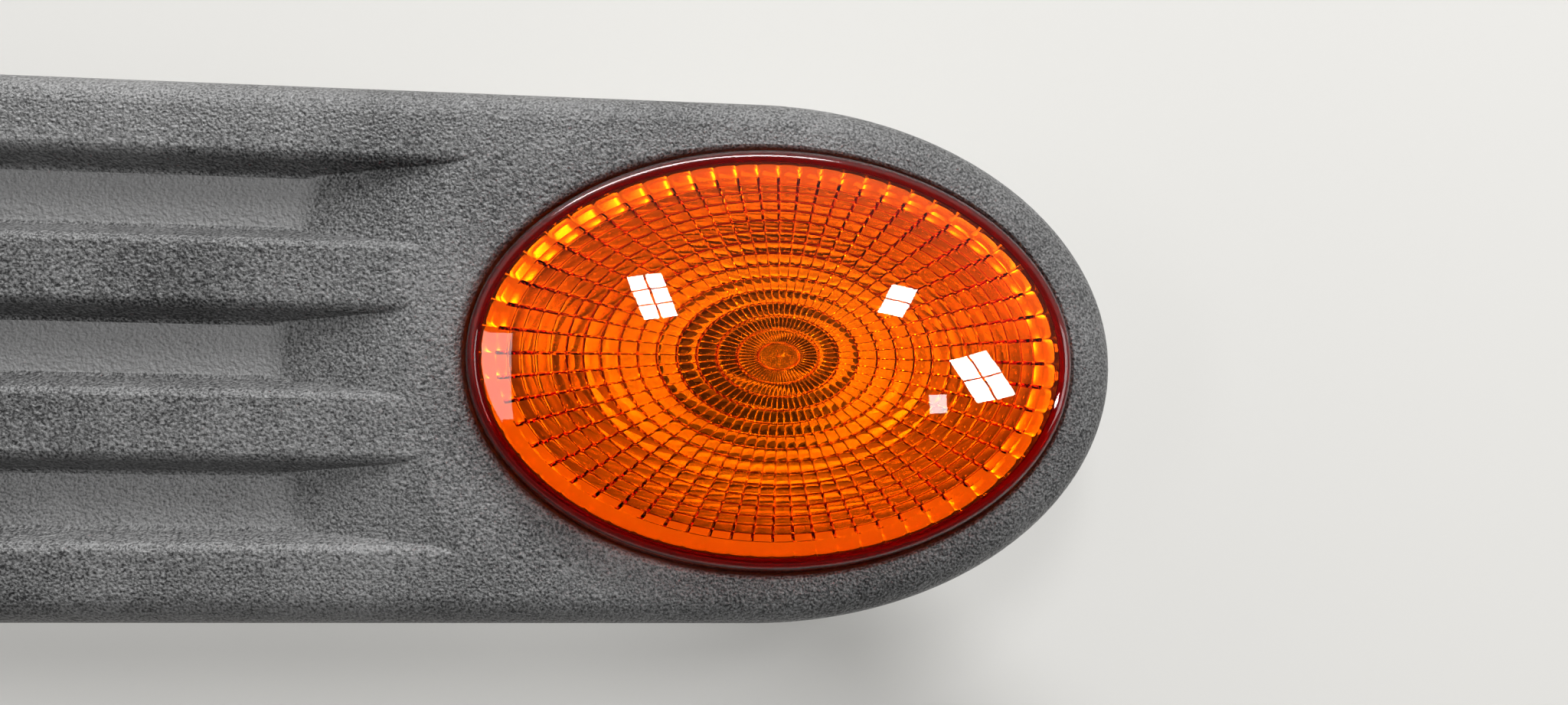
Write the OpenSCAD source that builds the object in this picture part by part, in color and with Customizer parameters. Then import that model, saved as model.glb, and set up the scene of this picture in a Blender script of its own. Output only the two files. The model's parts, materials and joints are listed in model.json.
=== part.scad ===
// Side repeater lamp: an oval amber lamp set in the rounded end of a grooved
// body moulding. X runs along the moulding toward the lamp, Y across it and Z
// out of the car body. The origin lies on the panel, midway between the studs.

/* [Lens] */
// Length of the lens where it leaves the moulding
lens_len = 78.4; // [75:0.2:82]
// Height of the lens where it leaves the moulding
lens_h = 54.8; // [52:0.2:58]
// Thickness of the lens at its sides and face
lens_wall = 2; // [1.8:0.1:2.6]
// Height of the lens side above the face of the moulding
lens_rise = 4; // [2:0.1:6]
// How far the lens side leans in over that height
lens_lean = 0.8; // [0.4:0.1:1.4]
// Rise of the dome from its edge to its top
dome_rise = 4.2; // [2:0.1:7]
// Width of the rounded shoulder between side and dome
shoulder_w = 1.6; // [0.8:0.1:2]
// Height over which the inside of the lens slopes from its side to its face
corner_h = 1.2; // [0.6:0.1:1.6]
// Width of the flange that clamps the lens
flange_w = 1.9; // [1.2:0.1:2.2]
// Thickness of that flange
flange_t = 2.2; // [1.6:0.1:3]

/* [Lens optics] */
// Number of rings of pillow optics
ring_n = 16; // [8:1:18]
// Number of sectors that each ring is divided into
sector_n = 60; // [40:4:72]
// Width of the plain band between the optics and the lens outline
plain_band = 4.6; // [3.8:0.1:7]
// How far the centre of the rings lies toward the rounded end
optic_shift = 0; // [0:0.1:3]
// Bulge of one pillow
pillow_h = 0.35; // [0.1:0.05:0.6]
// Angle that closes the rings up toward the edge
ring_close = 54; // [20:1:70]
// Spread of the sectors: 0.5 spaces them evenly along the edge, 1 by their angle
sector_spread = 0.8; // [0.5:0.05:1]

/* [Moulding] */
// Width of the moulding beyond the lens at the rounded end
bezel_end = 6.7; // [6.6:0.1:9]
// Width of the moulding above and below the lens
bezel_side = 6.9; // [6.6:0.1:8]
// How far the rounded end begins behind the lens axis
nose_back = 2; // [0:0.1:4]
// Distance from the middle of the studs to the lens axis
lamp_x = 93; // [90:0.5:120]
// Distance from the middle of the studs to the plain end
tail_x = 47; // [45:0.5:80]
// Corner radius of the plain end
tail_r = 11; // [10.5:0.5:16]
// Height of the face above the body panel
face_z = 13; // [12.5:0.1:16]
// Wall thickness of the moulding
wall = 2.4; // [2:0.1:2.6]
// Radius of the rolled edge
edge_r = 4.5; // [3:0.1:5]
// Radius of the soft fall between face and rolled edge
soft_r = 60; // [30:1:200]
// Width of the band that falls away
rim_w = 10; // [8:0.1:10]
// Gap between the lens and its opening
lens_gap = 0.3; // [0.1:0.05:0.6]
// Width of the collar under the opening
collar_w = 1.8; // [1.4:0.1:2.2]
// Radius of the rounded edge round the opening
mouth_r = 0.8; // [0.4:0.1:1.2]

/* [Grooves] */
// Distance between neighbouring grooves
groove_pitch = 19; // [18:0.5:20]
// Width of a groove at the face
groove_w = 10.6; // [8:0.1:12]
// Depth of a groove
groove_d = 4; // [2:0.1:4.2]
// How far each groove side leans over its depth
groove_lean = 1.75; // [0.5:0.05:2.5]
// Radius of the rounded lips of a groove
lip_r = 1.6; // [0.6:0.1:2]
// Radius of the fillets along its floor
foot_r = 1; // [0.4:0.1:1.4]
// Distance from the lens end to where the grooves begin
groove_gap = 6.8; // [4:0.1:12]
// Length over which a groove reaches its full depth
groove_ramp = 18; // [8:0.5:24]
// Distance from the plain end to the grooves
groove_tail_gap = 9; // [6:0.5:14]
// Length of the ramp at that end
groove_tail_ramp = 7; // [3:0.5:12]

/* [Moulding underside] */
// Thickness of the cross ribs
rib_t = 1.4; // [1:0.1:2]
// Height of the rib edges above the panel
rib_z = 5.2; // [3:0.1:6]
// Distance of the rear cross rib from the middle of the studs
rib_rear = 1.5; // [0:0.5:6]
// Distance of the front cross rib from the middle of the studs
rib_front = 42; // [39:0.5:42]
// Length and width of the carrier that holds a stud or clip
carrier_w = 15; // [14.6:0.1:16]
// Thickness of the carrier floor, which rests on the panel
carrier_floor = 2; // [1.5:0.1:2.4]

/* [Studs and clips] */
// Distance between the two studs
stud_pitch = 62; // [58:0.5:70]
// Radius of a stud
stud_r = 2.5; // [2:0.5:3]
// Width of the shoulder on a stud where it passes its carrier
stud_neck = 0.5; // [0.4:0.1:0.8]
// Reach of a stud behind the panel
stud_reach = 16; // [10:0.5:25]
// Side of the square plate on a stud or clip
plate_w = 12; // [11:0.5:12.5]
// Thickness of that plate
plate_t = 1.8; // [1.2:0.1:2]
// Distance of the rear clip pair from the middle of the studs
clip_rear = 27; // [25:0.5:29]
// Distance of the front clip pair from the middle of the studs
clip_front = 24; // [22:0.5:26]
// Distance of each clip from the long edge of the moulding
clip_in = 15.3; // [14:0.1:16]
// Radius of a clip over its barbs
clip_r = 3.6; // [3:0.1:4.5]
// Radius of a clip between its barbs
clip_core_r = 2.2; // [1.5:0.1:2.6]
// Number of barbs on a clip
barb_n = 3; // [2:1:4]
// Height of one barb
barb_h = 2.6; // [2:0.1:3.2]
// Gap round a plate in its carrier
plate_gap = 0.1; // [0.05:0.05:0.3]

/* [Lamp housing] */
// Height of the underside of the housing flange above the panel
housing_z = 2.4; // [2.2:0.1:3]
// Thickness of the housing flange
housing_flange_t = 2.6; // [2.2:0.1:3]
// Wall thickness of the housing bowl
housing_wall = 1.8; // [1.4:0.1:2.2]
// Depth of the housing floor behind the panel
bowl_floor = 18; // [16:0.5:24]
// Distance from the lens outline to the foot of the bowl
bowl_in = 13.6; // [12:0.1:13.8]
// Width of the seal channel in the housing flange
channel_w = 1.6; // [1.2:0.1:1.8]
// Depth of that channel
channel_d = 1.1; // [0.8:0.1:1.5]
// Distance from the lens end to the housing screws
screw_gap = 6.8; // [6.4:0.1:9]
// Distance of each housing screw from the lamp's middle line
screw_y = 13; // [10:0.5:15]
// Radius of the boss that a housing screw enters
boss_r = 4; // [3.5:0.1:4.4]
// Radius of a housing screw
screw_r = 1.75; // [1.4:0.05:2]
// Radius of its head
screw_head_r = 3.5; // [3:0.1:4]
// Length of a housing screw under its head
screw_len = 7; // [6:0.1:7.2]
// Height of its head
screw_head_h = 2.2; // [1.5:0.1:2.2]

/* [Reflector] */
// Thickness of the reflector
mirror_t = 1.2; // [0.8:0.1:1.6]
// Gap between reflector and housing at the rim
mirror_gap = 0.4; // [0.2:0.1:0.6]
// Thickness of the flanges at its rim and its seat
mirror_lip_t = 0.8; // [0.6:0.1:1.2]
// Gap between its rim and the slope inside the lens
mirror_rim_gap = 1.2; // [0.6:0.1:3]
// Depth of the bottom of the reflector behind the panel
mirror_floor = 14.2; // [12:0.1:14.6]
// Radius of its hole
mirror_hole_r = 12.6; // [12.2:0.1:13]

/* [Bulb and holder] */
// Radius of the bulb glass
bulb_r = 5; // [4:0.1:6]
// Thickness of the bulb glass
bulb_glass_t = 0.8; // [0.5:0.1:1]
// Length of the round part of the bulb
bulb_len = 20; // [16:0.5:24]
// Height of the wedge base of the bulb
wedge_h = 7; // [5:0.5:8]
// Width of the wedge base
wedge_w = 9.4; // [8:0.1:9.8]
// Thickness of the wedge base
wedge_t = 3; // [2:0.1:3.4]
// Radius of the holder where it passes the housing
holder_r = 9.5; // [9:0.1:10]
// Gap round the holder in its hole
holder_gap = 0.3; // [0.1:0.05:0.5]
// Radius of the holder's sealing flange
holder_flange_r = 13; // [12.5:0.1:13.4]
// Thickness of that flange
holder_flange_t = 2.4; // [1.6:0.1:3]
// Reach of the bayonet lugs beyond the holder
lug_w = 2.2; // [1.6:0.1:2.4]
// Thickness of the holder seal
holder_seal_t = 1.6; // [1:0.1:2.4]
// Length of the grip behind the sealing flange
grip_len = 7; // [5:0.5:10]
// Depth of the connector shroud
shroud_len = 14; // [10:0.5:18]
// Wall thickness of the shroud
shroud_wall = 1.4; // [1:0.1:2]
// Width inside the shroud
shroud_w = 14.2; // [13:0.1:15]
// Height inside the shroud
shroud_h = 8.2; // [7:0.1:9]
// Width of a connector blade
blade_w = 2.8; // [2:0.1:3]
// Thickness of a connector blade
blade_t = 0.8; // [0.5:0.1:0.9]
// Distance from the mouth of the shroud to the blade tips
blade_in = 5; // [4.6:0.1:7]
// Distance between the two blades
blade_pitch = 7; // [6:0.1:7.4]

/* [Seals] */
// Thickness of the foam strip between moulding and panel
edge_seal_t = 1.2; // [0.8:0.1:2]
// Width of that strip
edge_seal_w = 1.6; // [1:0.1:2]
// Thickness of the gasket between lens flange and collar
gasket_t = 0.8; // [0.5:0.1:1.2]

/* [Hidden] */
$fn = 96;
// Overrun of a cut past the face that it opens
over = 1;

lens_a = lens_len / 2;
lens_b = lens_h / 2;
half_h = lens_b + bezel_side;
clip_y = half_h - clip_in;
nose_x = lamp_x - nose_back;
nose_a = lens_a + bezel_end + nose_back;
nose_stretch = nose_a / half_h;

skirt_z = edge_seal_t;
roll_z = face_z - soft_r + sqrt(pow(soft_r - edge_r, 2) - pow(rim_w - edge_r, 2));
roll_turn = asin((rim_w - edge_r) / (soft_r - edge_r));

groove_floor_z = face_z - groove_d;
groove_floor_w = groove_w - 2 * groove_lean;
groove_slope = groove_lean / groove_d;
groove_turn = 90 - atan(groove_slope);
ramp_r = lens_a + groove_gap;
ramp_slope = groove_ramp / groove_d;
tail_slope = groove_tail_ramp / groove_d;

joint_z = housing_z + housing_flange_t;
collar_z = joint_z + flange_t + gasket_t;
shoulder_z = face_z + lens_rise;
dome_in = lens_lean + shoulder_w;
// The side of the lens starts to lean in this far below the face
lean_sink = 1;
dome_top_z = shoulder_z + dome_rise;
optic_z = shoulder_z - lens_wall;

// Reach of the housing's inner lip past the inside of the lens wall
lip_reach = 1.4;
bowl_top_in = lens_wall + lip_reach;
bowl_stretch = (lens_a - bowl_top_in) / (lens_b - bowl_top_in);
bowl_out_z = -bowl_floor - housing_wall;
screw_x = -(lens_a + screw_gap);
screw_fit = 0.05;
screw_play = 0.3;
screw_end_gap = 0.4;
mirror_top_in = bowl_top_in + mirror_gap;
mirror_lip_in = lens_wall + mirror_gap;
mirror_rim_z = optic_z - corner_h - mirror_rim_gap;

holder_flange_z = bowl_out_z - holder_seal_t;
grip_z = holder_flange_z - holder_flange_t;
shroud_top_z = grip_z - grip_len;
shroud_z = shroud_top_z - shroud_len;
// The holder stands proud of the reflector floor and the bulb sits sunk in it
holder_proud = 0.8;
bulb_sink = 1;
bulb_gap = 0.3;
holder_top_z = holder_proud - mirror_floor;
bulb_z = -mirror_floor - bulb_sink;
lug_t = 1.6;
lug_play = 0.1;
lug_z = lug_play - bowl_floor;
lug_tangent_w = 4;
notch_w = lug_tangent_w + 2 * lug_play;
wedge_z = bulb_z - wedge_h;
lead_t = 0.3;
leaf_y = wedge_t / 2 + lead_t;
contact_gap = 0.05;
pocket_gap = 0.15;
pocket_w = wedge_w + 2 * pocket_gap;
pocket_t = 2 * (leaf_y + blade_t + pocket_gap);
pocket_z = wedge_z - pocket_gap;

// Support wires of the filament: their radius and distance from the bulb's axis
support_r = 0.2;
support_x = 2.4;
filament_r = 0.45;
filament_z = bulb_z + 0.55 * bulb_len;

function backward(list) = [for (i = [len(list) - 1:-1:0]) list[i]];

// Points along a round stretch of an outline
function arc_points(centre, r, from, to, steps) = [
    for (i = [0:steps])
        let (t = from + (to - from) * i / steps)
        centre + r * [cos(t), sin(t)]
];

// The lens outline as a flat oval, grown or shrunk all round
module lens_oval(grow) {
    scale([(lens_a + grow) / (lens_b + grow), 1]) circle(lens_b + grow);
}

// Flat ring that follows the lens outline between two distances from it
module lens_ring_block(inner, outer, base_z, height) {
    translate([lamp_x, 0, base_z]) {
        difference() {
            linear_extrude(height) lens_oval(outer);
            translate([0, 0, -over]) linear_extrude(height + 2 * over) lens_oval(inner);
        }
    }
}

// Section of the falling band and rolled edge, inset by a wall thickness: x is
// the distance out from the outline and y is the height above the panel
module rim_section(inset, base) {
    intersection() {
        translate([-rim_w, face_z - soft_r]) circle(soft_r - inset);
        translate([-rim_w, base])
            square([rim_w - edge_r + (edge_r - inset) * sin(roll_turn), face_z - base]);
    }
    translate([-edge_r, roll_z]) circle(edge_r - inset);
    translate([-rim_w, base]) square([rim_w - inset, roll_z - base]);
}

// Section from the middle line of the moulding out to its edge
module half_section(inset, base) {
    translate([half_h, 0]) rim_section(inset, base);
    translate([0, base]) square([half_h - rim_w, face_z - inset - base]);
}

// Section of the plain end and its corners, as deep as the corner radius
module end_section(inset, base) {
    rim_section(inset, base);
    translate([-tail_r, base]) square([tail_r - rim_w, face_z - inset - base]);
}

// The whole moulding as a solid block, inset by a wall thickness
module trim_block(inset, base) {
    translate([nose_x, 0, 0])
        scale([nose_stretch, 1, 1])
            rotate([0, 0, -90]) rotate_extrude(angle = 180) half_section(inset, base);
    translate([tail_r - tail_x, 0, 0])
        rotate([90, 0, 90])
            linear_extrude(nose_x + tail_x - tail_r)
                for (flip = [0, 1]) {
                    mirror([flip, 0]) half_section(inset, base);
                }
    for (flip = [0, 1]) {
        mirror([0, flip, 0])
            translate([tail_r - tail_x, half_h - tail_r, 0])
                rotate([0, 0, 90])
                    rotate_extrude(angle = 90)
                        translate([tail_r, 0]) end_section(inset, base);
    }
    translate([-tail_x, tail_r - half_h, 0])
        rotate([90, 0, 180]) linear_extrude(2 * (half_h - tail_r)) end_section(inset, base);
}

// Section of a groove on one side of its middle line, from its floor up: lips
// and floor are rounded where it is not grown
function groove_side(grow) =
    let (
        floor_z = groove_floor_z - grow,
        top_z = face_z + over,
        lean = 90 - groove_turn,
        floor_half = groove_floor_w / 2 + grow / cos(lean) - grow * groove_slope,
        face_half = groove_w / 2,
        lip_x = face_half + lip_r * tan(groove_turn / 2),
        foot_x = floor_half - foot_r * tan(groove_turn / 2),
        foot = arc_points([foot_x, floor_z + foot_r], foot_r, -90, -lean, 4),
        lip = arc_points([lip_x, face_z - lip_r], lip_r, 180 - lean, 90, 6)
    )
    grow > 0
        ? [[floor_half, floor_z], [floor_half + (top_z - floor_z) * groove_slope, top_z]]
        : concat(foot, lip, [[lip_x, top_z]]);

// The three grooves with their ramps, grown by a wall thickness
module grooves(grow) {
    side = groove_side(grow);
    ramp_drop = grow / cos(atan(1 / ramp_slope));
    floor_z = groove_floor_z - grow;
    top_z = face_z + over;
    tail_floor = groove_tail_gap + groove_tail_ramp - grow / 2 - tail_x;
    length = lamp_x - tail_floor;
    difference() {
        intersection() {
            for (n = [-1:1]) {
                translate([-tail_x, n * groove_pitch, 0])
                    rotate([90, 0, 90])
                        linear_extrude(lamp_x + tail_x)
                            polygon(concat(side, [for (p = backward(side)) [-p.x, p.y]]));
            }
            translate([tail_floor, 2 * half_h, 0])
                rotate([90, 0, 0])
                    linear_extrude(4 * half_h)
                        polygon([
                            [0, floor_z],
                            [length, floor_z],
                            [length, top_z],
                            [(floor_z - top_z) * tail_slope, top_z]
                        ]);
        }
        translate([lamp_x, 0, groove_floor_z - ramp_drop - over])
            cylinder(
                h = groove_d + ramp_drop + 2 * over,
                r1 = ramp_r + groove_ramp + over * ramp_slope,
                r2 = ramp_r - (ramp_drop + over) * ramp_slope
            );
    }
}

// Slot of a carrier: the space for a square plate and its shank, open on the
// side that faces the middle of the studs
module carrier_slot(x, y, shank_r) {
    slot_w = plate_w + 2 * plate_gap;
    neck_w = 2 * (shank_r + plate_gap);
    side = x > 0 ? 0 : 180;
    translate([x, y, 0]) {
        rotate([0, 0, side]) {
            translate([-carrier_w, -slot_w / 2, carrier_floor])
                cube([carrier_w + slot_w / 2, slot_w, plate_t + 2 * plate_gap]);
            translate([-carrier_w, -neck_w / 2, -over])
                cube([carrier_w, neck_w, carrier_floor + over + plate_gap]);
        }
        translate([0, 0, -over]) cylinder(h = carrier_floor + over + plate_gap, r = neck_w / 2);
    }
}

// The opening for the lens, with its rounded edge at the face
module lens_opening() {
    r = lens_b + lens_gap;
    edge = arc_points([r + mouth_r, face_z - mouth_r], mouth_r, 180, 90, 5);
    low = [[0, collar_z - over], [r, collar_z - over]];
    high = [[r + mouth_r, face_z + over], [0, face_z + over]];
    translate([lamp_x, 0, 0])
        scale([(lens_a + lens_gap) / r, 1, 1]) rotate_extrude() polygon(concat(low, edge, high));
}

// Cross ribs and carrier blocks, cut to the underside of the face
module inner_forms() {
    difference() {
        intersection() {
            trim_block(wall / 2, 0);
            union() {
                for (x = [-rib_rear, rib_front]) {
                    translate([x - rib_t / 2, -half_h, rib_z]) cube([rib_t, 2 * half_h, face_z]);
                }
                for (x = [-stud_pitch / 2, stud_pitch / 2]) {
                    translate([x - carrier_w / 2, -carrier_w / 2, 0])
                        cube([carrier_w, carrier_w, face_z]);
                }
                for (x = [-clip_rear, clip_front], side = [-1, 1]) {
                    translate([x - carrier_w / 2, side * clip_y - carrier_w / 2, 0])
                        cube([carrier_w, carrier_w, face_z]);
                }
            }
        }
        grooves(wall / 2);
    }
}

// Ledge inside the rounded end that the housing flange hooks behind
module nose_hook() {
    hook_gap = 0.4;
    hook_w = 20;
    intersection() {
        trim_block(wall / 2, skirt_z);
        translate([lamp_x + lens_a + hook_gap, -hook_w / 2, skirt_z])
            cube([bezel_end, hook_w, housing_z - skirt_z]);
    }
}

module trim_cover() {
    pilot = screw_len - housing_flange_t + screw_end_gap;
    color([0.13, 0.135, 0.15])
    difference() {
        union() {
            difference() {
                trim_block(0, skirt_z);
                grooves(0);
                difference() {
                    trim_block(wall, skirt_z - over);
                    grooves(wall);
                    translate([lamp_x, 0, collar_z])
                        linear_extrude(face_z) lens_oval(lens_gap + collar_w);
                    for (side = [-1, 1]) {
                        translate([lamp_x + screw_x, side * screw_y, joint_z])
                            cylinder(h = face_z, r = boss_r);
                    }
                }
            }
            inner_forms();
            nose_hook();
        }
        for (x = [-stud_pitch / 2, stud_pitch / 2]) {
            carrier_slot(x, 0, stud_r + stud_neck);
        }
        for (x = [-clip_rear, clip_front], side = [-1, 1]) {
            carrier_slot(x, side * clip_y, clip_core_r);
        }
        lens_opening();
        for (side = [-1, 1]) {
            translate([lamp_x + screw_x, side * screw_y, joint_z - over])
                cylinder(h = pilot + over, r = screw_r + screw_fit);
        }
    }
}

// Footprint of the moulding's edge, shrunk all round
module foot_outline(inset) {
    translate([nose_x, 0]) {
        intersection() {
            scale([(nose_a - inset) / (half_h - inset), 1]) circle(half_h - inset);
            translate([0, -half_h]) square([nose_a, 2 * half_h]);
        }
    }
    translate([tail_r - tail_x, inset - half_h])
        square([nose_x + tail_x - tail_r, 2 * (half_h - inset)]);
    translate([inset - tail_x, tail_r - half_h])
        square([tail_r, 2 * (half_h - tail_r)]);
    for (side = [-1, 1]) {
        translate([tail_r - tail_x, side * (half_h - tail_r)]) circle(tail_r - inset);
    }
}

// Foam strip under the edge of the moulding
module edge_seal() {
    inset = (wall - edge_seal_w) / 2;
    color([0.07, 0.07, 0.07])
    difference() {
        linear_extrude(edge_seal_t) foot_outline(inset);
        translate([0, 0, -over])
            linear_extrude(edge_seal_t + 2 * over) foot_outline(inset + edge_seal_w);
    }
}

// Directions of the sectors, shifted toward the ends of the oval
even_shift = sector_spread * 180 / PI * (lens_a - lens_b) / (lens_a + lens_b);
sector_turns = [
    for (j = [0:sector_n - 1])
        let (t = 360 * j / sector_n)
        t + even_shift * sin(2 * t)
];

// One ring of lens points: the outline grown, then scaled about the optic centre
function lens_ring(grow, scale, z, shift = 0) = [
    for (t = sector_turns) [
        scale * (lens_a + grow) * cos(t) + shift * (1 - scale),
        scale * (lens_b + grow) * sin(t),
        z
    ]
];
function dome_z(edge_z, scale) = edge_z + dome_rise * (1 - scale * scale);
function ring_scale(k) = sin(ring_close * k / ring_n) / sin(ring_close);
function middle(a, b, c, d, drop) = (a + b + c + d) / 4 - [0, 0, drop];

// Faces between two rings of points, seen from outside with the second above
function band(low, high) = [
    for (j = [0:sector_n - 1])
        let (k = (j + 1) % sector_n)
        each [[low + j, high + j, high + k], [low + j, high + k, low + k]]
];
function flat_list(rings) = [for (ring = rings) each ring];

// The lens: outside and inside rings run from the flange up to the dome, and
// the inside of the dome is divided into pillows
module lens() {
    dome_n = 8;
    shoulder_n = 4;
    lean_z = face_z - lean_sink;
    side_top_z = shoulder_z - shoulder_w;
    corner_z = optic_z - corner_h;
    corner_in = lens_wall + lens_lean * (corner_z - lean_z) / (side_top_z - lean_z);
    outside = [
        lens_ring(flange_w, 1, joint_z),
        lens_ring(flange_w, 1, joint_z + flange_t),
        lens_ring(0, 1, joint_z + flange_t),
        lens_ring(0, 1, lean_z),
        for (k = [0:shoulder_n - 1])
            let (t = 90 * k / shoulder_n)
            lens_ring(-lens_lean - shoulder_w * (1 - cos(t)), 1, side_top_z + shoulder_w * sin(t)),
        for (k = [0:dome_n - 1])
            let (t = 1 - k / dome_n)
            lens_ring(-dome_in, t, dome_z(shoulder_z, t))
    ];
    inside = [
        lens_ring(-lens_wall, 1, joint_z),
        lens_ring(-lens_wall, 1, lean_z),
        lens_ring(-corner_in, 1, corner_z),
        for (k = [0:ring_n - 1])
            let (t = ring_scale(ring_n - k))
            lens_ring(-plain_band, t, dome_z(optic_z, t), optic_shift)
    ];
    wall_n = 3;
    out_n = len(outside);
    in_n = len(inside);
    cells = [
        for (k = [wall_n:in_n - 2], j = [0:sector_n - 1])
            let (m = (j + 1) % sector_n)
            middle(inside[k][j], inside[k][m], inside[k + 1][j], inside[k + 1][m], pillow_h)
    ];
    in_0 = out_n * sector_n;
    cell_0 = in_0 + in_n * sector_n;
    top_out = cell_0 + len(cells);
    top_in = top_out + 1;
    points = concat(
        flat_list(outside),
        flat_list(inside),
        cells,
        [[0, 0, dome_top_z], [optic_shift, 0, optic_z + dome_rise - pillow_h / 2]]
    );
    faces = concat(
        [for (k = [0:out_n - 2]) each band(k * sector_n, (k + 1) * sector_n)],
        [for (k = [0:wall_n - 1]) each band(in_0 + (k + 1) * sector_n, in_0 + k * sector_n)],
        [
            for (k = [wall_n:in_n - 2], j = [0:sector_n - 1])
                let (
                    m = (j + 1) % sector_n,
                    low = in_0 + k * sector_n,
                    high = low + sector_n,
                    mid = cell_0 + (k - wall_n) * sector_n + j
                )
                each [
                    [mid, low + j, low + m],
                    [mid, low + m, high + m],
                    [mid, high + m, high + j],
                    [mid, high + j, low + j]
                ]
        ],
        [
            for (j = [0:sector_n - 1])
                let (m = (j + 1) % sector_n, rim = (out_n - 1) * sector_n)
                [rim + j, top_out, rim + m]
        ],
        [
            for (j = [0:sector_n - 1])
                let (m = (j + 1) % sector_n, rim = in_0 + (in_n - 1) * sector_n)
                [rim + j, rim + m, top_in]
        ],
        band(in_0, 0)
    );
    color([1, 0.42, 0.05, 0.8])
    translate([lamp_x, 0, 0]) polyhedron(points, faces, convexity = 8);
}

// Foam ring between the lens flange and the collar of the moulding
module lens_gasket() {
    color([0.1, 0.1, 0.1])
    lens_ring_block(lens_gap, flange_w, joint_z + flange_t, gasket_t);
}

// Cord seal in the channel of the housing, under the lens
module lens_seal() {
    gap = 0.05;
    color([0.16, 0.16, 0.17])
    lens_ring_block(gap - channel_w, -gap, joint_z - channel_d, channel_d);
}

// Quarter ellipse of a bowl wall, from its rim down and in to its floor
bowl_steps = 6;
function bowl_curve(top_in, foot_in, top_z, floor_z) = [
    for (i = [0:bowl_steps])
        let (t = 90 * i / bowl_steps)
        [lens_b - top_in - (foot_in - top_in) * (1 - cos(t)), top_z - (top_z - floor_z) * sin(t)]
];

// Bowl with a flat floor, between an outer and an inner curve
module bowl(outer, inner) {
    floor = [[0, outer[len(outer) - 1].y], [0, inner[len(inner) - 1].y]];
    scale([bowl_stretch, 1, 1])
        rotate_extrude() polygon(concat(outer, floor, backward(inner)));
}

module lamp_housing() {
    outer_in = bowl_top_in - housing_wall;
    ear_r = boss_r + screw_end_gap;
    rim_z = housing_z + housing_flange_t / 5;
    color([0.82, 0.82, 0.80])
    translate([lamp_x, 0, 0])
    difference() {
        union() {
            difference() {
                translate([0, 0, housing_z]) linear_extrude(housing_flange_t) lens_oval(flange_w);
                translate([0, 0, housing_z - over])
                    linear_extrude(housing_flange_t + 2 * over) lens_oval(-bowl_top_in);
                translate([0, 0, joint_z - channel_d])
                    linear_extrude(channel_d + over)
                        difference() {
                            lens_oval(0);
                            lens_oval(-channel_w);
                        }
            }
            bowl(
                bowl_curve(outer_in, bowl_in, rim_z, bowl_out_z),
                bowl_curve(bowl_top_in, bowl_in, rim_z, -bowl_floor)
            );
            difference() {
                for (side = [-1, 1]) {
                    translate([screw_x, side * screw_y, housing_z]) {
                        cylinder(h = housing_flange_t, r = ear_r);
                        translate([0, -ear_r, 0])
                            cube([screw_gap + ear_r, 2 * ear_r, housing_flange_t]);
                    }
                }
                translate([0, 0, housing_z - over])
                    linear_extrude(housing_flange_t + 2 * over) lens_oval(flange_w / 2);
            }
        }
        for (side = [-1, 1]) {
            translate([screw_x, side * screw_y, housing_z - over])
                cylinder(h = housing_flange_t + 2 * over, r = screw_r + screw_play);
        }
        translate([0, 0, bowl_out_z - over])
            cylinder(h = housing_wall + 2 * over, r = holder_r + holder_gap);
        for (turn = [0:120:240]) {
            rotate([0, 0, turn])
                translate([0, -notch_w / 2, bowl_out_z - over])
                    cube([holder_r + lug_w + holder_gap, notch_w, housing_wall + 2 * over]);
        }
    }
}

// Metallised bowl that rests on the inner edge of the housing and rises inside
// the lens, with a flange at its rim
module reflector() {
    foot_in = bowl_in - mirror_t / 2;
    top_in = mirror_top_in + mirror_t;
    seat_z = joint_z + mirror_lip_t;
    color([0.85, 0.85, 0.86])
    translate([lamp_x, 0, 0])
    difference() {
        union() {
            for (z = [joint_z, mirror_rim_z - mirror_lip_t]) {
                translate([0, 0, z])
                    linear_extrude(mirror_lip_t)
                        difference() {
                            lens_oval(-mirror_lip_in);
                            lens_oval(-top_in);
                        }
            }
            bowl(
                concat(
                    [[lens_b - mirror_top_in, mirror_rim_z]],
                    bowl_curve(mirror_top_in, foot_in, seat_z, -mirror_floor - mirror_t)
                ),
                concat(
                    [[lens_b - top_in, mirror_rim_z]],
                    bowl_curve(top_in, foot_in, seat_z, -mirror_floor)
                )
            );
        }
        translate([0, 0, -mirror_floor - mirror_t - over])
            cylinder(h = mirror_t + 2 * over, r = mirror_hole_r);
    }
}

// Self-tapping screws that clamp housing, lens and gasket to the moulding
module housing_screws() {
    tip_r = 0.3;
    head_chamfer = 0.8;
    recess_r = 1.6;
    recess_w = 0.7;
    recess_d = 1.2;
    color([0.7, 0.7, 0.68])
    for (side = [-1, 1]) {
        translate([lamp_x + screw_x, side * screw_y, housing_z]) {
            cylinder(h = screw_len - screw_r, r = screw_r);
            translate([0, 0, screw_len - screw_r]) cylinder(h = screw_r, r1 = screw_r, r2 = tip_r);
            difference() {
                translate([0, 0, -screw_head_h]) {
                    cylinder(
                        h = screw_head_h / 2,
                        r1 = screw_head_r - head_chamfer,
                        r2 = screw_head_r
                    );
                    translate([0, 0, screw_head_h / 2])
                        cylinder(h = screw_head_h / 2, r = screw_head_r);
                }
                for (turn = [0, 90]) {
                    rotate([0, 0, turn])
                        translate([-recess_r, -recess_w / 2, -screw_head_h - over])
                            cube([2 * recess_r, recess_w, recess_d + over]);
                }
            }
        }
    }
}

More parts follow.
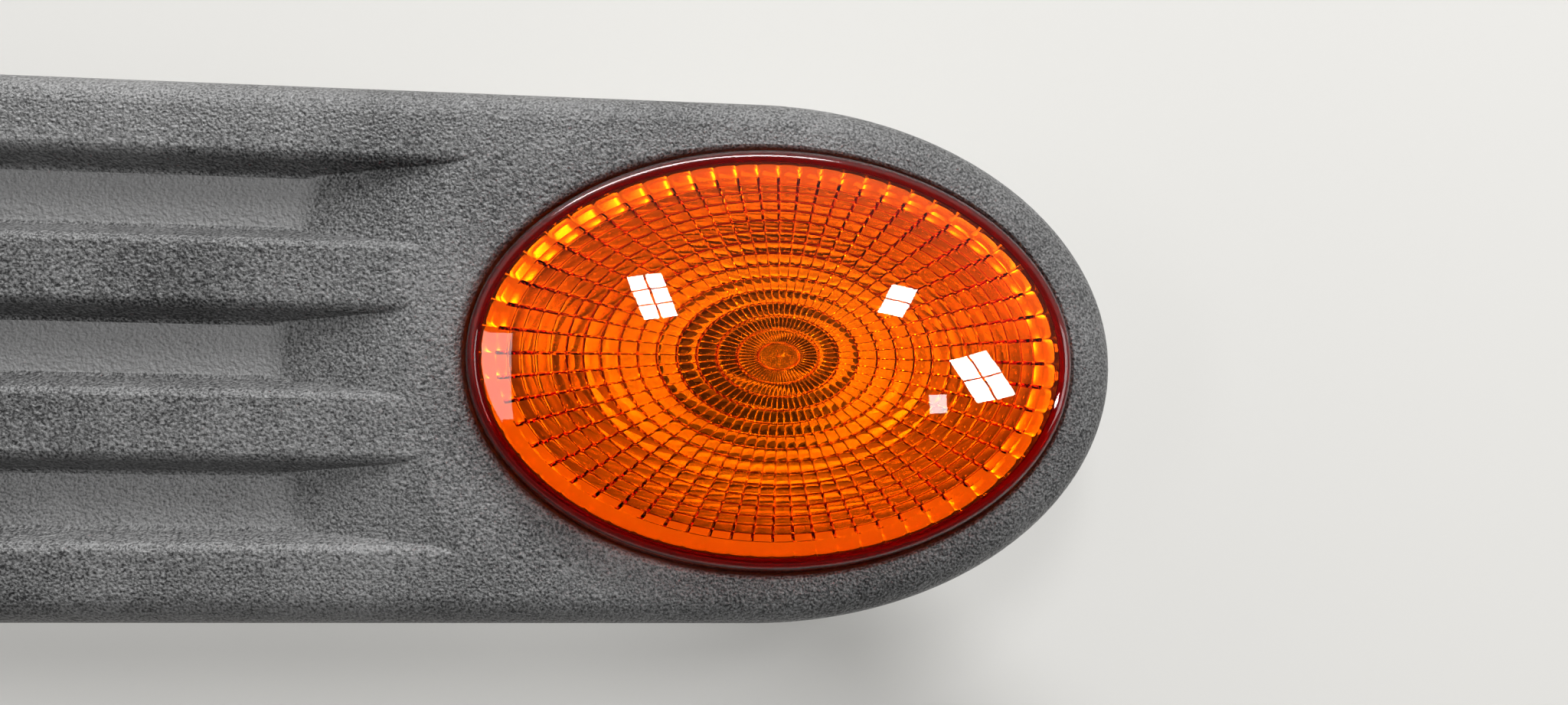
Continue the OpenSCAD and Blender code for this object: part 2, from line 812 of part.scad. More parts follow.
// One spring contact with its blade, as a side view swept over the blade width
module contact(grow) {
    top_z = bulb_z - bulb_gap;
    bend_z = grip_z - blade_w / 3;
    jog = leaf_y + blade_t / 2;
    half = blade_t / 2 + grow;
    tip_z = shroud_z + blade_in;
    translate([blade_pitch / 2 - blade_w / 2 - grow, 0, 0])
        rotate([90, 0, 90])
            linear_extrude(blade_w + 2 * grow)
                polygon([
                    [-jog - half, top_z + grow],
                    [-jog + half, top_z + grow],
                    [-jog + half, bend_z + blade_t / 2],
                    [half, bend_z - jog + blade_t / 2],
                    [half, tip_z],
                    [-half, tip_z],
                    [-half, bend_z - jog - blade_t / 2],
                    [-jog - half, bend_z - blade_t / 2]
                ]);
}

module contact_right() {
    color([0.8, 0.6, 0.3]) translate([lamp_x, 0, 0]) contact(0);
}

module contact_left() {
    color([0.8, 0.6, 0.3]) translate([lamp_x, 0, 0]) rotate([0, 0, 180]) contact(0);
}

// Bayonet holder with its sealing flange, grip and connector shroud
module bulb_holder() {
    grip_w = 3;
    grip_in = 0.5;
    latch = [5, 1.4, 3];
    latch_sink = 0.2;
    latch_in = 2;
    out_w = shroud_w + 2 * shroud_wall;
    out_h = shroud_h + 2 * shroud_wall;
    color([0.2, 0.2, 0.21])
    translate([lamp_x, 0, 0])
    difference() {
        union() {
            translate([0, 0, holder_flange_z])
                cylinder(h = holder_top_z - holder_flange_z, r = holder_r);
            translate([0, 0, grip_z]) cylinder(h = holder_flange_t, r = holder_flange_r);
            translate([0, 0, shroud_top_z]) cylinder(h = grip_len, r = holder_r - grip_in);
            translate([grip_in - holder_flange_r, -grip_w / 2, shroud_top_z])
                cube([2 * (holder_flange_r - grip_in), grip_w, grip_len]);
            translate([-out_w / 2, -out_h / 2, shroud_z]) cube([out_w, out_h, shroud_len]);
            translate([-latch.x / 2, out_h / 2 - latch_sink, shroud_z + latch_in])
                cube([latch.x, latch.y + latch_sink, latch.z]);
            intersection() {
                translate([0, 0, lug_z]) cylinder(h = lug_t, r = holder_r + lug_w);
                for (turn = [60:120:300]) {
                    rotate([0, 0, turn])
                        translate([0, -lug_tangent_w / 2, lug_z])
                            cube([2 * holder_r, lug_tangent_w, lug_t]);
                }
            }
        }
        translate([-pocket_w / 2, -pocket_t / 2, pocket_z])
            cube([pocket_w, pocket_t, holder_top_z - pocket_z + over]);
        translate([-shroud_w / 2, -shroud_h / 2, shroud_z - over])
            cube([shroud_w, shroud_h, shroud_len + over]);
        translate([0, 0, bulb_z - bulb_gap])
            cylinder(h = holder_top_z - bulb_z + bulb_gap + over, r = bulb_r + bulb_gap);
        for (turn = [0, 180]) {
            rotate([0, 0, turn]) contact(contact_gap);
        }
    }
}

// Rubber ring between holder flange and housing
module holder_seal() {
    edge_in = 0.2;
    fit = 0.1;
    color([0.12, 0.12, 0.12])
    translate([lamp_x, 0, holder_flange_z])
        difference() {
            cylinder(h = holder_seal_t, r = holder_flange_r - edge_in);
            translate([0, 0, -over])
                cylinder(h = holder_seal_t + 2 * over, r = holder_r + fit);
        }
}

// Hollow glass with a pinched wedge base
module bulb_glass() {
    ball_z = bulb_z + bulb_len - bulb_r;
    inner_r = bulb_r - bulb_glass_t;
    color([0.95, 0.95, 0.95, 0.5])
    translate([lamp_x, 0, 0])
    difference() {
        union() {
            translate([0, 0, bulb_z]) cylinder(h = bulb_len - bulb_r, r = bulb_r);
            translate([0, 0, ball_z]) sphere(bulb_r);
            translate([-wedge_w / 2, -wedge_t / 2, wedge_z])
                cube([wedge_w, wedge_t, wedge_h + bulb_glass_t]);
        }
        translate([0, 0, bulb_z + bulb_glass_t])
            cylinder(h = bulb_len - bulb_r - bulb_glass_t, r = inner_r);
        translate([0, 0, ball_z]) sphere(inner_r);
    }
}

// Coiled filament between its supports
module bulb_filament() {
    color([0.45, 0.45, 0.47])
    translate([lamp_x + support_r - support_x, 0, filament_z])
        rotate([0, 90, 0]) cylinder(h = 2 * (support_x - support_r), r = filament_r);
}

module bulb_support(side) {
    foot_z = bulb_z + bulb_glass_t;
    color([0.75, 0.75, 0.74])
    translate([lamp_x + side * support_x, 0, foot_z])
        cylinder(h = filament_z + filament_r - foot_z, r = support_r);
}

module bulb_support_left() {
    bulb_support(-1);
}

module bulb_support_right() {
    bulb_support(1);
}

// Ends of the lead wires, folded up against the wedge base
module bulb_leads() {
    lead_w = 0.5;
    lead_in = 1;
    color([0.75, 0.75, 0.74])
    translate([lamp_x, 0, 0])
        for (turn = [0, 180]) {
            rotate([0, 0, turn])
                translate([blade_pitch / 2 - lead_w / 2, -leaf_y, wedge_z + lead_in])
                    cube([lead_w, lead_t, wedge_h - 2 * lead_in]);
        }
}

// Square plate that slides into a carrier
module slide_plate() {
    translate([-plate_w / 2, -plate_w / 2, carrier_floor + plate_gap])
        cube([plate_w, plate_w, plate_t]);
}

module stud(x) {
    chamfer = 0.8;
    color([0.72, 0.7, 0.6])
    translate([x, 0, 0]) {
        slide_plate();
        cylinder(h = carrier_floor + plate_gap, r = stud_r + stud_neck);
        translate([0, 0, chamfer - stud_reach]) cylinder(h = stud_reach - chamfer, r = stud_r);
        translate([0, 0, -stud_reach]) cylinder(h = chamfer, r1 = stud_r - chamfer, r2 = stud_r);
    }
}

module stud_front() {
    stud(stud_pitch / 2);
}

module stud_rear() {
    stud(-stud_pitch / 2);
}

// Push-in clip with barbs that grip a hole in the panel
module clip(x, side) {
    tip_h = 3;
    tip_r = 0.8;
    panel_t = 1.2;
    barb_step = 0.4;
    foot_z = -panel_t - barb_n * barb_h;
    color([0.9, 0.9, 0.86])
    translate([x, side * clip_y, 0]) {
        slide_plate();
        translate([0, 0, foot_z])
            cylinder(h = carrier_floor + plate_gap - foot_z, r = clip_core_r);
        for (n = [0:barb_n - 1]) {
            translate([0, 0, foot_z + n * barb_h])
                cylinder(h = barb_h - barb_step, r1 = clip_core_r, r2 = clip_r);
        }
        translate([0, 0, foot_z - tip_h]) cylinder(h = tip_h, r1 = tip_r, r2 = clip_core_r);
    }
}

module clip_upper_front() {
    clip(clip_front, 1);
}

module clip_lower_front() {
    clip(clip_front, -1);
}

module clip_upper_rear() {
    clip(-clip_rear, 1);
}

module clip_lower_rear() {
    clip(-clip_rear, -1);
}

trim_cover();
edge_seal();
lens();
lens_gasket();
lens_seal();
lamp_housing();
reflector();
housing_screws();
bulb_holder();
holder_seal();
contact_left();
contact_right();
bulb_glass();
bulb_filament();
bulb_support_left();
bulb_support_right();
bulb_leads();
stud_front();
stud_rear();
clip_upper_front();
clip_lower_front();
clip_upper_rear();
clip_lower_rear();
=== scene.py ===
import json
import math

import bpy
from mathutils import Matrix, Vector


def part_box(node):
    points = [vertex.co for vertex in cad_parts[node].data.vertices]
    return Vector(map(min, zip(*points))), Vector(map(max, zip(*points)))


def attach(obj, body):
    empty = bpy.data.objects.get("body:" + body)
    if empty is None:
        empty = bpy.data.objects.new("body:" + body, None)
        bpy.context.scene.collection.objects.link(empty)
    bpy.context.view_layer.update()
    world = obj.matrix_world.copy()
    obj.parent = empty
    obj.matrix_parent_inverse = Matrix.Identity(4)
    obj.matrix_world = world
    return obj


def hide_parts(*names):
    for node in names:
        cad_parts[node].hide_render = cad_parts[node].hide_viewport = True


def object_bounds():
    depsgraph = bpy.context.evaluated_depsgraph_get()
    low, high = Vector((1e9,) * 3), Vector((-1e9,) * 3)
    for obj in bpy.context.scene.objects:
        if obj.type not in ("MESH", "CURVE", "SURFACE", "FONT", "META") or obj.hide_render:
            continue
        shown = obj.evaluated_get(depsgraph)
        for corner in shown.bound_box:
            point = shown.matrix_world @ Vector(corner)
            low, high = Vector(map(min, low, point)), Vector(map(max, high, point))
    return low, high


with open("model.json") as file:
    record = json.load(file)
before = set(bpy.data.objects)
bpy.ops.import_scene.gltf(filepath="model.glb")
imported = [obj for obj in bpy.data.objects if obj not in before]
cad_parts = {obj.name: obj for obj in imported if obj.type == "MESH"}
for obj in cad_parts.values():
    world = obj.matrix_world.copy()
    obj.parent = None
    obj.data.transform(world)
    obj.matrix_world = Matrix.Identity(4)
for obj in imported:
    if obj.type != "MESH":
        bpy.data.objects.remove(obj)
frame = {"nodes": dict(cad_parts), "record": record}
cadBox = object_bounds()
mm = 0.001

lensLow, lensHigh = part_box("lens")
lampX = (lensLow.x + lensHigh.x) / 2
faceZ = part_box("trim_cover")[1].z


def linearFromHex(code):
    parts = [int(code[i : i + 2], 16) / 255 for i in (1, 3, 5)]
    return [p / 12.92 if p <= 0.04045 else ((p + 0.055) / 1.055) ** 2.4 for p in parts] + [1]


def facingTurn(way, roll):
    # Rotation whose Z axis points along the unit vector, turned about it by degrees
    side = Vector((0, 1, 0)).cross(way).normalized()
    turn = Matrix((side, way.cross(side), way)).transposed().to_4x4()
    return turn @ Matrix.Rotation(math.radians(roll), 4, "Z")


print("camera")
cameraView = {
    "focal": 27.07,  # mm
    "sensor": 36,  # mm wide
    "distance": 151.9,  # mm from the point it looks at
    "target": (1.32, 0.91),  # mm from the lens axis, in the face of the moulding
    "lean": (5.17, 3.5),  # degrees towards the plain end and the lower edge
    "roll": 0.9,  # degrees
    "nearest": 10,  # mm: nothing closer is drawn
}


def makeCamera():
    leanX, leanY = (math.tan(math.radians(angle)) for angle in cameraView["lean"])
    shiftX, shiftY = cameraView["target"]
    target = Vector((lampX + shiftX * mm, shiftY * mm, faceZ))
    back = Vector((-leanX, -leanY, 1)).normalized()
    place = Matrix.Translation(target + back * cameraView["distance"] * mm)
    data = bpy.data.cameras.new("camera")
    data.lens = cameraView["focal"]
    data.sensor_width = cameraView["sensor"]
    data.clip_start = cameraView["nearest"] * mm
    camera = bpy.data.objects.new("camera", data)
    camera.matrix_world = place @ facingTurn(back, cameraView["roll"])
    bpy.context.collection.objects.link(camera)
    bpy.context.scene.camera = camera


makeCamera()

print("materials")


def addNode(tree, kind, values=None, links=None, **properties):
    node = tree.nodes.new(kind)
    for name, value in properties.items():
        setattr(node, name, value)
    for socket, value in (values or {}).items():
        node.inputs[socket].default_value = value
    for socket, source in (links or {}).items():
        tree.links.new(source, node.inputs[socket])
    return node


def startMaterial(name):
    material = bpy.data.materials.new(name)
    material.use_nodes = True
    material.node_tree.nodes.clear()
    return material, material.node_tree


def endMaterial(tree, surface, volume=None):
    out = addNode(tree, "ShaderNodeOutputMaterial", links={"Surface": surface.outputs[0]})
    if volume:
        tree.links.new(volume.outputs[0], out.inputs["Volume"])


def addRamp(tree, source, stops):
    ramp = addNode(tree, "ShaderNodeValToRGB", links={"Fac": source})
    elements = ramp.color_ramp.elements
    for i, (place, colour) in enumerate(stops):
        stop = elements[i] if i < 2 else elements.new(place)
        stop.position = place
        stop.color = colour
    return ramp.outputs["Color"]


trimFinish = {
    "colour": "#1d1d1e",
    # Pale grey: dust, and a painted sparkle on the raised points of the fine grain
    "dustAndSparkle": "#767676",
    "ramp": (0.6, 0.95),  # share of the pale colour (dust, and painted sparkle on the raised grain) at which it starts and is full
    "roughness": 0.38,
    "ior": 1.49,
    "grain": 0.5,  # mm, size of one moulded grain
    "fine": 1.6,  # how many times finer the noise between the grains is
    "grainDepth": 0.25,  # mm
    "grainStrength": 0.8,
    "smudgeWeight": 0.5,  # how far the pale colour follows the broad dust smudges instead of the fine grain, whose raised points it paints paler as dust and painted sparkle
    "dustSize": 30,  # mm
    "dustRoughness": 0.62,
    "settled": (3.5, 3.9),  # mm under the face: dust has settled on the groove floors here
    "settledShare": 0.3,
    "upward": 0.95,  # Z of the normal above which dust stays
    "lowerFade": (-6, -14, 0.4),  # mm across the moulding between which the groove floors turn less pale towards the lower edge, and the share of their pale colour left past them
}


def addSettledDust(tree, place, dustAndSparkle):
    start, end = trimFinish["settled"]
    nearEdge, farEdge, least = trimFinish["lowerFade"]
    level = addNode(tree, "ShaderNodeSeparateXYZ", links={0: place})
    settled = addNode(
        tree, "ShaderNodeMapRange",
        {
            "From Min": faceZ - start * mm, "From Max": faceZ - end * mm,
            "To Max": trimFinish["settledShare"],
        },
        {"Value": level.outputs["Z"]},
    )
    normal = addNode(tree, "ShaderNodeNewGeometry").outputs["True Normal"]
    facing = addNode(tree, "ShaderNodeSeparateXYZ", links={0: normal})
    upward = addNode(
        tree, "ShaderNodeMath", {1: trimFinish["upward"]}, {0: facing.outputs["Z"]},
        operation="GREATER_THAN",
    )
    # The groove floors are painted less pale towards the lower edge
    lowerShare = addNode(
        tree, "ShaderNodeMapRange",
        {"From Min": farEdge * mm, "From Max": nearEdge * mm, "To Min": least},
        {"Value": level.outputs["Y"]},
    )
    share = addNode(
        tree, "ShaderNodeMath", links={0: upward.outputs[0], 1: lowerShare.outputs[0]},
        operation="MULTIPLY",
    )
    return addNode(
        tree, "ShaderNodeMath", links={0: share.outputs[0], 1: settled.outputs[0], 2: dustAndSparkle},
        operation="MULTIPLY_ADD",
    ).outputs[0]


def makeTrimMaterial():
    # Polypropylene moulded in an etched tool: a coarse satin grain that sparkles, grey with dust
    # in broad smudges and on the groove floors. The raised points of the fine grain are painted
    # paler: partly dust, partly a painted sparkle
    material, tree = startMaterial("grained polypropylene")
    place = addNode(tree, "ShaderNodeTexCoord").outputs["Object"]
    cells = addNode(
        tree, "ShaderNodeTexVoronoi",
        {"Scale": 1 / (trimFinish["grain"] * mm), "Randomness": 1},
        {"Vector": place}, feature="SMOOTH_F1",
    )
    fine = addNode(
        tree, "ShaderNodeTexNoise",
        {"Scale": trimFinish["fine"] / (trimFinish["grain"] * mm), "Detail": 2},
        {"Vector": place},
    )
    height = addNode(
        tree, "ShaderNodeMath", links={0: cells.outputs["Distance"], 1: fine.outputs["Fac"]},
        operation="ADD",
    )
    bump = addNode(
        tree, "ShaderNodeBump",
        {"Strength": trimFinish["grainStrength"], "Distance": trimFinish["grainDepth"] * mm},
        {"Height": height.outputs[0]},
    )
    smudge = addNode(
        tree, "ShaderNodeTexNoise",
        {
            "Scale": 1 / (trimFinish["dustSize"] * mm), "Detail": 5,
            "Roughness": trimFinish["dustRoughness"],
        },
        {"Vector": place},
    )
    # Pale share: broad dust smudges plus the fine noise that also raises the grain, so its raised
    # points are painted paler, partly as dust and partly as a painted sparkle
    dustAndSparkle = addNode(
        tree, "ShaderNodeMath", {1: trimFinish["smudgeWeight"]},
        {0: smudge.outputs["Fac"], 2: fine.outputs["Fac"]}, operation="MULTIPLY_ADD",
    )
    shades = [linearFromHex(trimFinish[name]) for name in ("colour", "dustAndSparkle")]
    stops = list(zip(trimFinish["ramp"], shades))
    colour = addRamp(tree, addSettledDust(tree, place, dustAndSparkle.outputs[0]), stops)
    surface = addNode(
        tree, "ShaderNodeBsdfPrincipled",
        {"Roughness": trimFinish["roughness"], "IOR": trimFinish["ior"]},
        {"Base Color": colour, "Normal": bump.outputs["Normal"]},
    )
    endMaterial(tree, surface)
    return material


clearFinishes = {
    # Amber acrylic, moulded and polished: clear, with sharp white reflections. Its colour is
    # deep red where light runs along a wall, and orange through the face
    "amber_acrylic": {
        "name": "moulded amber acrylic",
        "ior": 1.49,
        "colour": (0.997, 0.755, 0.0),  # share of light that passes, before the density
        "density": 1600,  # 1/m
        "waveSize": 9,  # mm, flow marks of the moulding
        "waveDepth": 0.02,  # mm
        "waveStrength": 0.1,
    },
    # Blown soda-lime glass: clear, with slight waves
    "bulb_glass": {
        "name": "blown clear glass",
        "ior": 1.52,
        "waveSize": 4,
        "waveDepth": 0.05,
        "waveStrength": 0.2,
    },
}


def makeClearMaterial(finish):
    material, tree = startMaterial(finish["name"])
    place = addNode(tree, "ShaderNodeTexCoord").outputs["Object"]
    wave = addNode(
        tree, "ShaderNodeTexNoise", {"Scale": 1 / (finish["waveSize"] * mm)}, {"Vector": place}
    )
    bump = addNode(
        tree, "ShaderNodeBump",
        {"Strength": finish["waveStrength"], "Distance": finish["waveDepth"] * mm},
        {"Height": wave.outputs["Fac"]},
    )
    surface = addNode(
        tree, "ShaderNodeBsdfPrincipled",
        {
            "Base Color": (1, 1, 1, 1), "Roughness": 0, "IOR": finish["ior"],
            "Transmission Weight": 1,
        },
        {"Normal": bump.outputs["Normal"]},
    )
    volume = None
    if "density" in finish:
        volume = addNode(
            tree, "ShaderNodeVolumeAbsorption",
            {"Color": (*finish["colour"], 1), "Density": finish["density"]},
        )
    endMaterial(tree, surface, volume)
    return material


# Each plain finish: name, colour, metallic, roughness, ior, grain size in mm, grain depth in mm.
# The comment says what the finish gives the eye.
plainFinishes = {
    # Foam cells leave a dull, pitted black
    "foam": ("closed-cell foam", "#191919", 0, 0.9, 1.45, 0.6, 0.08),
    # Silicone rubber: pale and waxy
    "seal_rubber": ("moulded silicone", "#c9c7c0", 0, 0.5, 1.43, 1.2, 0.02),
    # ABS as moulded: even grey with a soft sheen
    "housing_plastic": ("moulded ABS", "#b4b3ae", 0, 0.42, 1.53, 0.8, 0.015),
    # Aluminium vapour on lacquer: a soft mirror with slight ripple
    "mirror_coat": ("vacuum metallised lacquer", "#f7f7f8", 1, 0.19, None, 3.0, 0.004),
    # Zinc plate, passivated: pale with a yellow cast and a fine drawn grain
    "zinc_steel": ("zinc plated steel", "#bdb79c", 1, 0.36, None, 0.5, 0.02),
    # Glass-filled nylon: near black, satin
    "holder_plastic": ("glass-filled nylon", "#1e1e20", 0, 0.5, 1.53, 0.7, 0.03),
    # Rolled brass strip: warm yellow metal
    "contact_brass": ("rolled brass", "#c9a45c", 1, 0.3, None, 0.5, 0.01),
    # Drawn tungsten: dark grey metal
    "tungsten": ("drawn tungsten", "#6d6c6b", 1, 0.4, None, 0.3, 0.01),
    # Nickel-iron lead wire: bright grey
    "lead_wire": ("nickel-iron wire", "#a3a19b", 1, 0.3, None, 0.3, 0.01),
    # Natural nylon: milky off-white, waxy
    "clip_plastic": ("natural nylon", "#dedbcf", 0, 0.38, 1.53, 0.9, 0.02),
}
plainGrain = {
    "strength": 0.6,
    "detail": 3,
    "shades": (0.82, 1.12),  # darkest and lightest part of the grain, as shares of the colour
}


def makePlainMaterial(finish):
    name, colour, metallic, roughness, ior, grain, depth = finish
    material, tree = startMaterial(name)
    place = addNode(tree, "ShaderNodeTexCoord").outputs["Object"]
    noise = addNode(
        tree, "ShaderNodeTexNoise",
        {"Scale": 1 / (grain * mm), "Detail": plainGrain["detail"]}, {"Vector": place},
    )
    bump = addNode(
        tree, "ShaderNodeBump", {"Strength": plainGrain["strength"], "Distance": depth * mm},
        {"Height": noise.outputs["Fac"]},
    )
    base = linearFromHex(colour)[:3]
    stops = [
        (end, [min(1, shade * part) for part in base] + [1])
        for end, shade in enumerate(plainGrain["shades"])
    ]
    values = {"Metallic": metallic, "Roughness": roughness}
    if ior:
        values["IOR"] = ior
    surface = addNode(
        tree, "ShaderNodeBsdfPrincipled", values,
        {
            "Base Color": addRamp(tree, noise.outputs["Fac"], stops),
            "Normal": bump.outputs["Normal"],
        },
    )
    endMaterial(tree, surface)
    return material


finishOf = {slot: makePlainMaterial(values) for slot, values in plainFinishes.items()}
finishOf.update({slot: makeClearMaterial(values) for slot, values in clearFinishes.items()})
finishOf["trim_plastic"] = makeTrimMaterial()


def dressNodes():
    for part in frame["record"]["subparts"]:
        mesh = frame["nodes"][part["node"]].data
        mesh.materials.clear()
        mesh.materials.append(finishOf[part["material_slot"]])


dressNodes()

print("lens")
lensForm = {
    "flange": 1.9,  # mm that the hidden flange reaches past the outline
    "flangeThick": 2.2,
    "lift": 0.03,  # gap under the foot, so that it doesn't share a face with its seat
    "wall": 2.0,
    "sinkZ": 1.0,  # the side starts to lean in this far below the face
    "lean": 0.8,  # how far it leans in
    "leanSteps": 4,
    "shoulder": 1.6,  # rounding between side and dome
    "shoulderSteps": 8,
    "domeRise": 4.2,
    "domeSteps": 30,
    "corner": 1.2,  # height of the slope inside, between side and face
    "wallSteps": 3,
    "band": 4.6,  # plain band between outline and optics
    "rings": 16,
    "sectors": 60,
    "even": 0.8,  # 0.5 spaces the sectors evenly along the edge, 1 by their angle
    "close": 54,  # degrees: the rings close up towards the edge
    "pillowDepth": 0.12,  # height of one pillow as a share of its size
    "bulge": 6,  # power of its section: 2 is a plain arc, more falls off at the borders
    "sharp": 24,  # degrees: edges above this stay sharp
}
# Where the points across one pillow lie: close together at its borders
cellPlaces = (0, 0.08, 0.22, 0.5, 0.78, 0.92)


def makePiece(name, points, faces, slot, sharpAngle):
    mesh = bpy.data.meshes.new(name)
    mesh.from_pydata(points, [], faces)
    mesh.validate()
    mesh.polygons.foreach_set("use_smooth", [True] * len(mesh.polygons))
    mesh.set_sharp_from_angle(angle=math.radians(sharpAngle))
    mesh.materials.append(finishOf[slot])
    piece = bpy.data.objects.new(name, mesh)
    bpy.context.collection.objects.link(piece)
    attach(piece, "root")
    return piece


def makeLens():
    f = lensForm
    halfLen = (lensHigh.x - lensLow.x) / 2 / mm - f["flange"]
    halfHeight = (lensHigh.y - lensLow.y) / 2 / mm - f["flange"]
    footZ = lensLow.z / mm + f["lift"]
    topZ = lensHigh.z / mm
    shoulderZ = topZ - f["domeRise"]
    sideTopZ = shoulderZ - f["shoulder"]
    leanZ = faceZ / mm - f["sinkZ"]
    opticZ = shoulderZ - f["wall"]
    even = f["even"] * (halfLen - halfHeight) / (halfLen + halfHeight)
    turns = [2 * math.pi * (n + p) / f["sectors"] for n in range(f["sectors"]) for p in cellPlaces]
    turns = [t + even * math.sin(2 * t) for t in turns]

    def oval(grow, z, scale=1):
        a, b = scale * (halfLen + grow), scale * (halfHeight + grow)
        return [(a * math.cos(t), b * math.sin(t), z) for t in turns]

    def domeZ(base, scale):
        return base + f["domeRise"] * (1 - scale * scale)

    def outsideRows():
        flangeTop = footZ + f["flangeThick"]
        rows = [oval(f["flange"], footZ), oval(f["flange"], flangeTop), oval(0, flangeTop)]
        for i in range(f["leanSteps"] + 1):
            part = i / f["leanSteps"]
            rows.append(oval(-f["lean"] * part, leanZ + (sideTopZ - leanZ) * part))
        for i in range(1, f["shoulderSteps"]):
            angle = math.radians(90 * i / f["shoulderSteps"])
            grow = -f["lean"] - f["shoulder"] * (1 - math.cos(angle))
            rows.append(oval(grow, sideTopZ + f["shoulder"] * math.sin(angle)))
        for i in range(f["domeSteps"]):
            scale = 1 - i / f["domeSteps"]
            rows.append(oval(-f["lean"] - f["shoulder"], domeZ(shoulderZ, scale), scale))
        return rows

    def wallRows():
        cornerZ = opticZ - f["corner"]
        cornerLean = f["lean"] * (cornerZ - leanZ) / (sideTopZ - leanZ)
        rows = [oval(-f["wall"], footZ)]
        for i in range(f["wallSteps"] + 1):
            part = i / f["wallSteps"]
            rows.append(oval(-f["wall"] - cornerLean * part, leanZ + (cornerZ - leanZ) * part))
        return rows

    def ringScale(k):
        angle = math.radians(f["close"])
        return math.sin(angle * k / f["rings"]) / math.sin(angle)

    def bulge(place):
        return 1 - abs(2 * place - 1) ** f["bulge"]

    def pillowRow(high, low, place):
        a, b = halfLen - f["band"], halfHeight - f["band"]
        scale = high + (low - high) * place
        row = []
        for i, t in enumerate(turns):
            gap = math.hypot(a * math.sin(t), b * math.cos(t)) * scale
            cellWide = 2 * math.pi / f["sectors"] * (1 + 2 * even * math.cos(2 * t)) * gap
            cellDeep = (high - low) * math.hypot(a * math.cos(t), b * math.sin(t))
            drop = bulge(cellPlaces[i % len(cellPlaces)]) * cellWide + bulge(place) * cellDeep
            z = domeZ(opticZ, scale) - drop * f["pillowDepth"]
            row.append((scale * a * math.cos(t), scale * b * math.sin(t), z))
        return row

    rows = list(reversed(outsideRows())) + wallRows()
    for k in range(f["rings"], 0, -1):
        rows += [pillowRow(ringScale(k), ringScale(k - 1), place) for place in cellPlaces]

    columns = len(turns)
    points = [point for row in rows for point in row]
    points += [(0, 0, topZ), (0, 0, opticZ + f["domeRise"])]
    outerTip, innerTip = len(points) - 2, len(points) - 1
    last = (len(rows) - 1) * columns
    faces = []
    for r in range(len(rows) - 1):
        base, above = r * columns, (r + 1) * columns
        for i in range(columns):
            j = (i + 1) % columns
            faces.append((base + i, above + i, above + j, base + j))
    for i in range(columns):
        j = (i + 1) % columns
        faces.append((i, j, outerTip))
        faces.append((last + j, last + i, innerTip))
    points = [(lampX + x * mm, y * mm, z * mm) for x, y, z in points]
    lens = makePiece("amberLens", points, faces, "amber_acrylic", f["sharp"])
    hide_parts("lens")


makeLens()

print("floor")
floorSet = {
    "colour": "#c6c5c2",
    "roughness": 0.8,
    "gap": 0.5,  # mm under the lowest point
    "size": 6,  # m
}


def makeFloor():
    half = floorSet["size"] / 2
    z = cadBox[0].z - floorSet["gap"] * mm
    corners = [(-half, -half, z), (half, -half, z), (half, half, z), (-half, half, z)]
    mesh = bpy.data.meshes.new("floor")
    mesh.from_pydata(corners, [], [(0, 1, 2, 3)])
    material, tree = startMaterial("matt painted board")
    surface = addNode(
        tree, "ShaderNodeBsdfPrincipled",
        {"Base Color": linearFromHex(floorSet["colour"]), "Roughness": floorSet["roughness"]},
    )
    endMaterial(tree, surface)
    mesh.materials.append(material)
    floor = bpy.data.objects.new("floor", mesh)
    bpy.context.collection.objects.link(floor)


makeFloor()

print("lights")
skySet = {
    "colour": "#fdfcfa",
    "peak": 1.0,
    # Share of the peak by height, from 0 at the horizon to 1 straight up: bright halfway up and
    # dim above, so that no veil lies on the dome
    "heights": (
        (0, 0.6), (1, 0.06), (0.2, 0.7), (0.3, 0.9), (0.45, 1), (0.6, 0.9), (0.72, 0.3),
        (0.8, 0.12),
    ),
    # Share by side, from 0 below the object to 1 above it in the picture
    "sides": ((0, 0.1), (1, 1), (0.4, 0.12), (0.6, 0.85)),
    "throughClear": 1.0,  # level seen through lens and bulb
}
# Softboxes: direction from the lens, distance in m, width and height in m, roll in
# degrees, watts per square metre, panes across and up as in a window
softboxes = {
    "upperLeft": ((-0.221, 0.29, 0.931), 1, 0.09, 0.19, 16, 150, (2, 3)),
    "upperRight": ((0.365, 0.289, 0.885), 1, 0.07, 0.13, -22, 140, (1, 2)),
    "lowerRight": ((0.559, -0.009, 0.829), 1, 0.11, 0.19, 24, 140, (2, 2)),
    "small": ((0.464, -0.123, 0.878), 1, 0.05, 0.08, 5, 50, (1, 1)),
    "topWall": ((-0.2, 0.9, 0.4), 1.3, 1.2, 0.3, 0, 62, (1, 1)),
    "leftWall": ((-0.57, -0.04, 0.82), 1, 0.1, 0.34, 0, 16, (1, 1)),
    "rightWall": ((0.85, 0.0, 0.5), 1.3, 0.6, 0.6, 0, 14, (1, 1)),
}
paneGap = 0.006  # m, bar between two panes


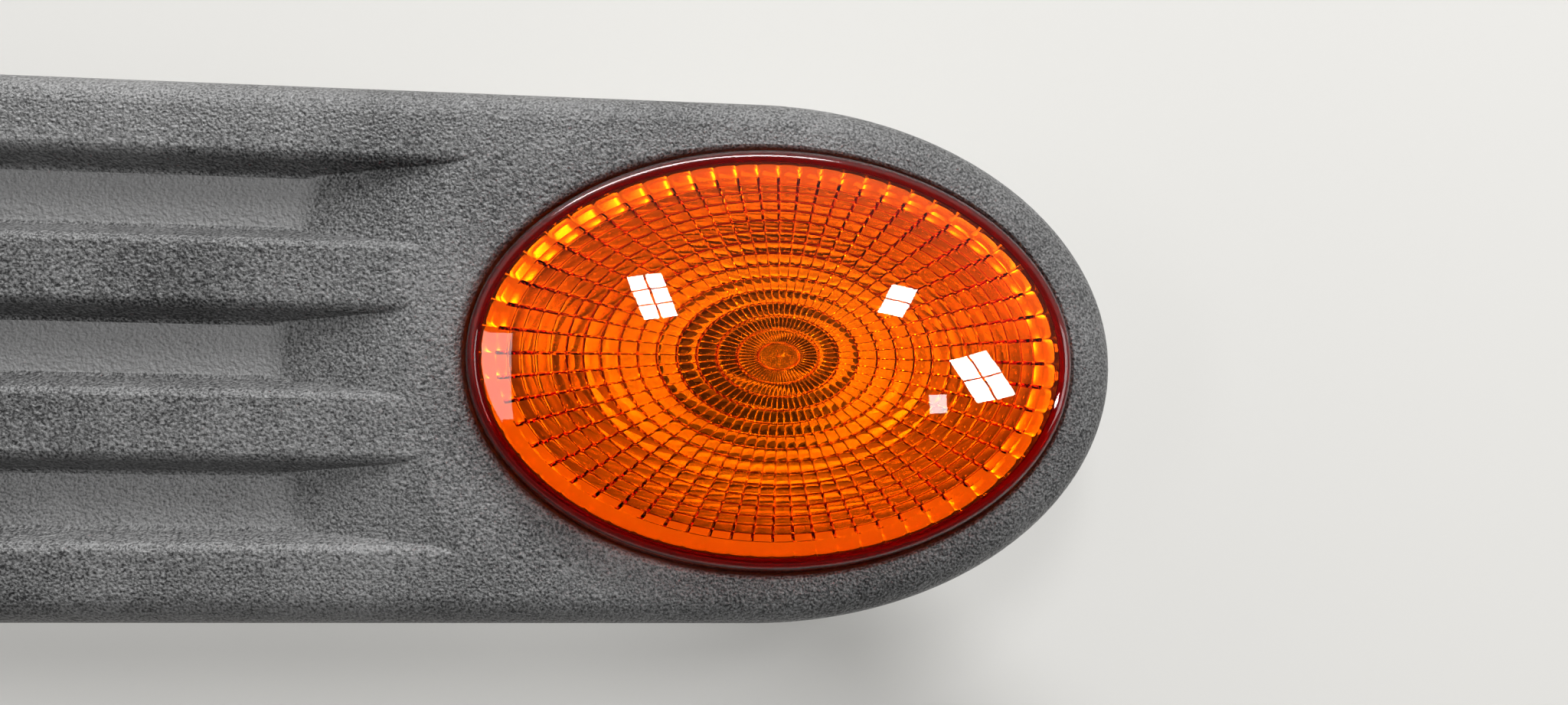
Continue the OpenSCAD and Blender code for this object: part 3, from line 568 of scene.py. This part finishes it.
def makeSky():
    world = bpy.data.worlds.new("studio")
    world.use_nodes = True
    tree = world.node_tree
    tree.nodes.clear()
    way = addNode(tree, "ShaderNodeTexCoord").outputs["Generated"]
    split = addNode(tree, "ShaderNodeSeparateXYZ", links={0: way})
    side = addNode(tree, "ShaderNodeMapRange", {"From Min": -1}, {"Value": split.outputs["Y"]})
    shares = [
        addRamp(tree, source, [(place, (share, share, share, 1)) for place, share in skySet[name]])
        for name, source in (("heights", split.outputs["Z"]), ("sides", side.outputs[0]))
    ]
    share = addNode(
        tree, "ShaderNodeMath", links={0: shares[0], 1: shares[1]}, operation="MULTIPLY"
    )
    level = addNode(
        tree, "ShaderNodeMath", {1: skySet["peak"]}, {0: share.outputs[0]}, operation="MULTIPLY"
    )
    path = addNode(tree, "ShaderNodeLightPath")
    strength = addNode(
        tree, "ShaderNodeMix", {"B": skySet["throughClear"]},
        {"Factor": path.outputs["Is Transmission Ray"], "A": level.outputs[0]},
    )
    soft = addNode(
        tree, "ShaderNodeBackground", {"Color": linearFromHex(skySet["colour"])},
        {"Strength": strength.outputs[0]},
    )
    addNode(tree, "ShaderNodeOutputWorld", links={"Surface": soft.outputs[0]})
    bpy.context.scene.world = world


def makeSoftbox(name, way, distance, width, height, roll, strength, panes):
    way = Vector(way).normalized()
    middle = Matrix.Translation(Vector((lampX, 0, faceZ)) + way * distance)
    stepX, stepY = width / panes[0], height / panes[1]
    for column in range(panes[0]):
        for row in range(panes[1]):
            data = bpy.data.lights.new(name, "AREA")
            data.shape = "RECTANGLE"
            data.size = stepX - paneGap
            data.size_y = stepY - paneGap
            data.energy = strength * data.size * data.size_y
            shift = ((column + 0.5) * stepX - width / 2, (row + 0.5) * stepY - height / 2, 0)
            lamp = bpy.data.objects.new(name, data)
            lamp.matrix_world = middle @ facingTurn(way, roll) @ Matrix.Translation(shift)
            bpy.context.collection.objects.link(lamp)


makeSky()
for name, values in softboxes.items():
    makeSoftbox(name, *values)

bpy.context.scene.view_settings.view_transform = "Standard"
